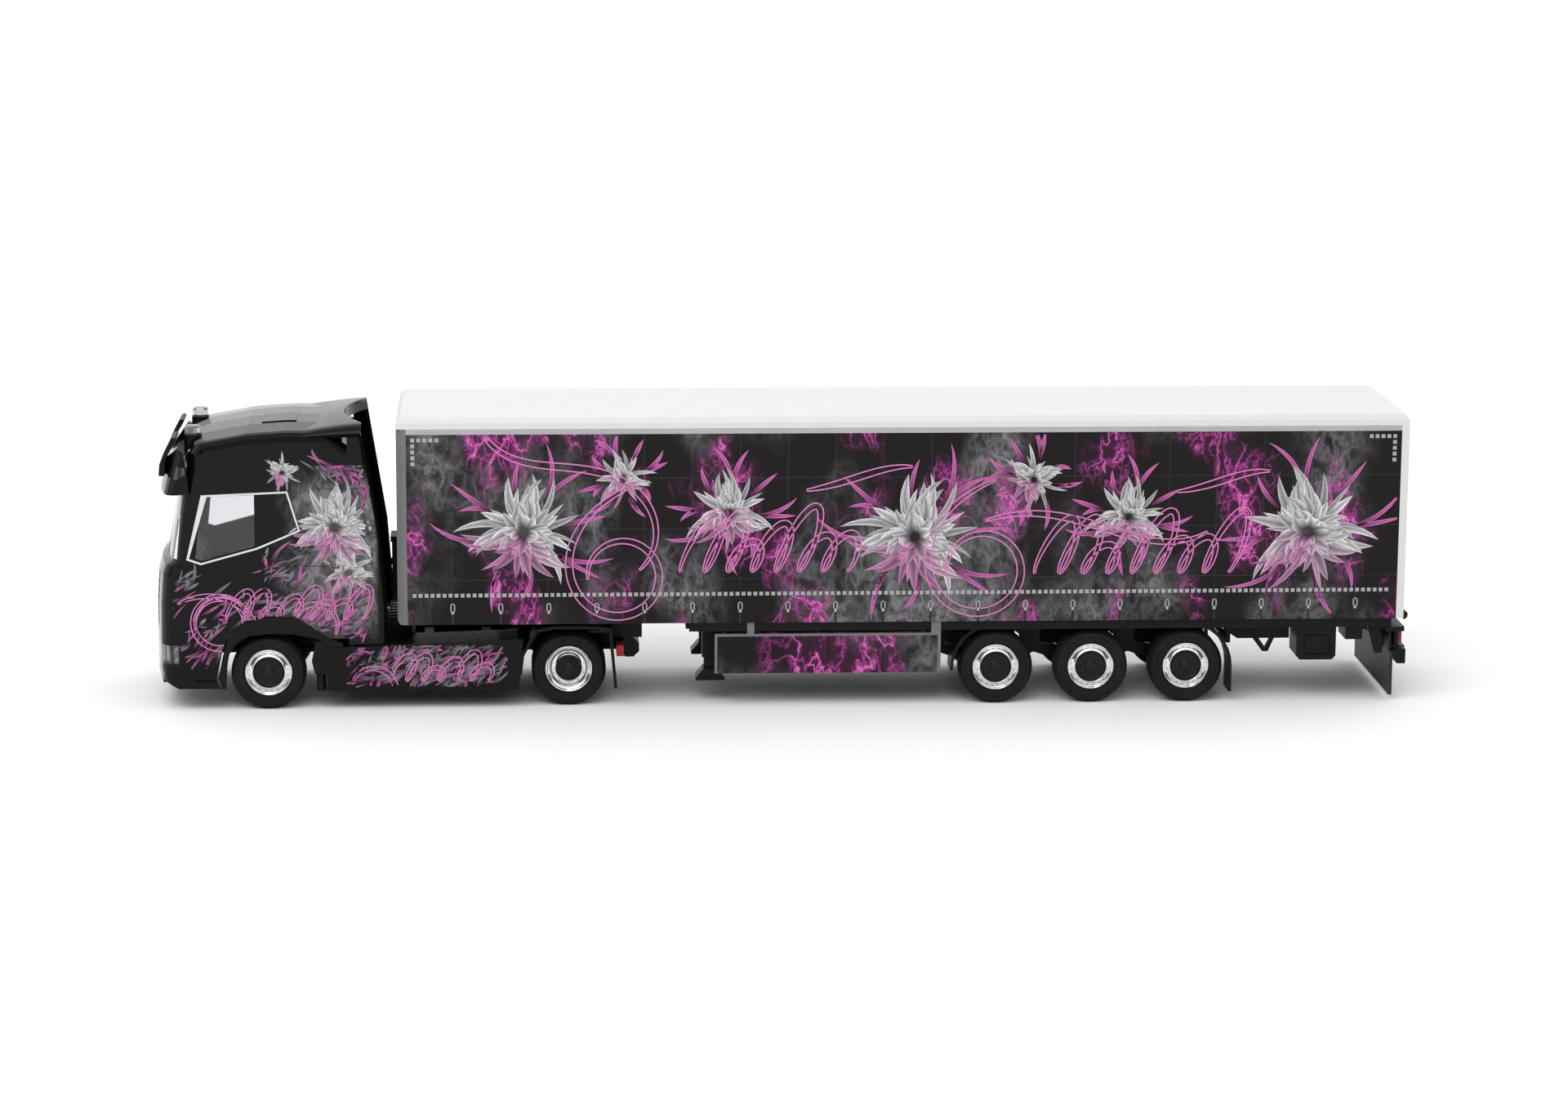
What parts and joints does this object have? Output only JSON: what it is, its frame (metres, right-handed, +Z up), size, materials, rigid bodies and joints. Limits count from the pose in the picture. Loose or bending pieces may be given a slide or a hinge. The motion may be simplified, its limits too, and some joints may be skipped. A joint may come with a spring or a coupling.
{
  "type": "curtain-side semi-trailer truck",
  "caption": "Small-scale display model of a cab-over tractor with a curtain-side semi-trailer that swings on its kingpin and rolls on its wheels.",
  "frame": {"origin": "middle of the whole model in plan, on the ground under the tyres", "axes": "+X towards the trailer rear, so the cab faces -X; +Y towards the right-hand side; +Z up"},
  "size_m": [0.1968, 0.0294, 0.046],
  "materials": {
    "air_tanks": "satin black",
    "beacon_bases": "satin black",
    "bumper": "gloss black",
    "cab_glazing": "clear smoked insert",
    "cab_interior": "dark grey",
    "cab_shell": "gloss black",
    "clear_lenses": "clear",
    "curtain_left": "printed charcoal",
    "curtain_right": "printed charcoal",
    "deck_box": "satin black",
    "drive_axle_hubs": "black",
    "drive_axle_rims": "plated",
    "drive_axle_tyres": "matt black",
    "fifth_wheel": "satin black",
    "front_axle_hubs": "black",
    "front_axle_rims": "plated",
    "front_axle_tyres": "matt black",
    "grille": "satin black",
    "guard_frames": "white print",
    "headboard": "grey",
    "headboard_fitting": "grey",
    "landing_legs": "satin black",
    "light_panels": "satin black",
    "load_floor": "satin black",
    "lock_rods": "grey",
    "rear_doors": "white",
    "rear_lamps": "clear red",
    "rear_mudguards": "satin black",
    "rear_plate": "grey",
    "rear_portal": "white",
    "rear_underrun": "grey",
    "roof_spoiler": "gloss black",
    "side_flaps": "gloss black",
    "side_panels": "printed charcoal",
    "side_skirts": "gloss black",
    "spare_carrier": "satin black",
    "spray_flap": "dark grey",
    "sun_visor": "gloss black",
    "suspension": "satin black",
    "tail_box": "satin black",
    "tail_lamps": "clear red",
    "toolboxes": "satin black",
    "top_rails": "grey",
    "tractor_frame": "satin black",
    "trailer_axle_1_hubs": "black",
    "trailer_axle_1_rims": "plated",
    "trailer_axle_1_tyres": "matt black",
    "trailer_axle_2_hubs": "black",
    "trailer_axle_2_rims": "plated",
    "trailer_axle_2_tyres": "matt black",
    "trailer_axle_3_hubs": "black",
    "trailer_axle_3_rims": "plated",
    "trailer_axle_3_tyres": "matt black",
    "trailer_chassis": "satin black",
    "trailer_mudguards": "satin black",
    "trailer_roof": "white",
    "wheel_arches": "satin black",
    "window_trims": "white print",
    "wipers": "satin black"
  },
  "bodies": {
    "tractor": {"air_tanks": "air_tanks", "beacon_bases": "beacon_bases", "bumper": "bumper", "cab_glazing": "cab_glazing", "cab_interior": "cab_interior", "cab_shell": "cab_shell", "clear_lenses": "clear_lenses", "deck_box": "deck_box", "fifth_wheel": "fifth_wheel", "grille": "grille", "light_panels": "light_panels", "rear_mudguards": "rear_mudguards", "roof_spoiler": "roof_spoiler", "side_flaps": "side_flaps", "side_skirts": "side_skirts", "sun_visor": "sun_visor", "tail_box": "tail_box", "tail_lamps": "tail_lamps", "tractor_frame": "tractor_frame", "wheel_arches": "wheel_arches", "window_trims": "window_trims", "wipers": "wipers"},
    "trailer": {"curtain_left": "curtain_left", "curtain_right": "curtain_right", "guard_frames": "guard_frames", "headboard": "headboard", "headboard_fitting": "headboard_fitting", "landing_legs": "landing_legs", "load_floor": "load_floor", "lock_rods": "lock_rods", "rear_doors": "rear_doors", "rear_lamps": "rear_lamps", "rear_plate": "rear_plate", "rear_portal": "rear_portal", "rear_underrun": "rear_underrun", "side_panels": "side_panels", "spare_carrier": "spare_carrier", "spray_flap": "spray_flap", "suspension": "suspension", "toolboxes": "toolboxes", "top_rails": "top_rails", "trailer_chassis": "trailer_chassis", "trailer_mudguards": "trailer_mudguards", "trailer_roof": "trailer_roof"},
    "front_axle": {"front_axle_hubs": "front_axle_hubs", "front_axle_rims": "front_axle_rims", "front_axle_tyres": "front_axle_tyres"},
    "drive_axle": {"drive_axle_hubs": "drive_axle_hubs", "drive_axle_rims": "drive_axle_rims", "drive_axle_tyres": "drive_axle_tyres"},
    "trailer_axle_1": {"trailer_axle_1_hubs": "trailer_axle_1_hubs", "trailer_axle_1_rims": "trailer_axle_1_rims", "trailer_axle_1_tyres": "trailer_axle_1_tyres"},
    "trailer_axle_2": {"trailer_axle_2_hubs": "trailer_axle_2_hubs", "trailer_axle_2_rims": "trailer_axle_2_rims", "trailer_axle_2_tyres": "trailer_axle_2_tyres"},
    "trailer_axle_3": {"trailer_axle_3_hubs": "trailer_axle_3_hubs", "trailer_axle_3_rims": "trailer_axle_3_rims", "trailer_axle_3_tyres": "trailer_axle_3_tyres"}
  },
  "joints": [
    {"name": "trailer_swing", "type": "hinge", "parent": "tractor", "child": "trailer", "pos_m": [-0.04013, 0, 0.0131], "axis": [0, 0, 1], "range_deg": [-90, 90]},
    {"name": "front_axle_spin", "type": "hinge", "parent": "tractor", "child": "front_axle", "pos_m": [-0.08052, 0, 0.00582], "axis": [0, 1, 0], "continuous": true},
    {"name": "drive_axle_spin", "type": "hinge", "parent": "tractor", "child": "drive_axle", "pos_m": [-0.03383, 0, 0.00582], "axis": [0, 1, 0], "continuous": true},
    {"name": "trailer_axle_1_spin", "type": "hinge", "parent": "trailer", "child": "trailer_axle_1", "pos_m": [0.03328, 0, 0.00582], "axis": [0, 1, 0], "continuous": true},
    {"name": "trailer_axle_2_spin", "type": "hinge", "parent": "trailer", "child": "trailer_axle_2", "pos_m": [0.04834, 0, 0.00582], "axis": [0, 1, 0], "continuous": true},
    {"name": "trailer_axle_3_spin", "type": "hinge", "parent": "trailer", "child": "trailer_axle_3", "pos_m": [0.0634, 0, 0.00582], "axis": [0, 1, 0], "continuous": true}
  ]
}
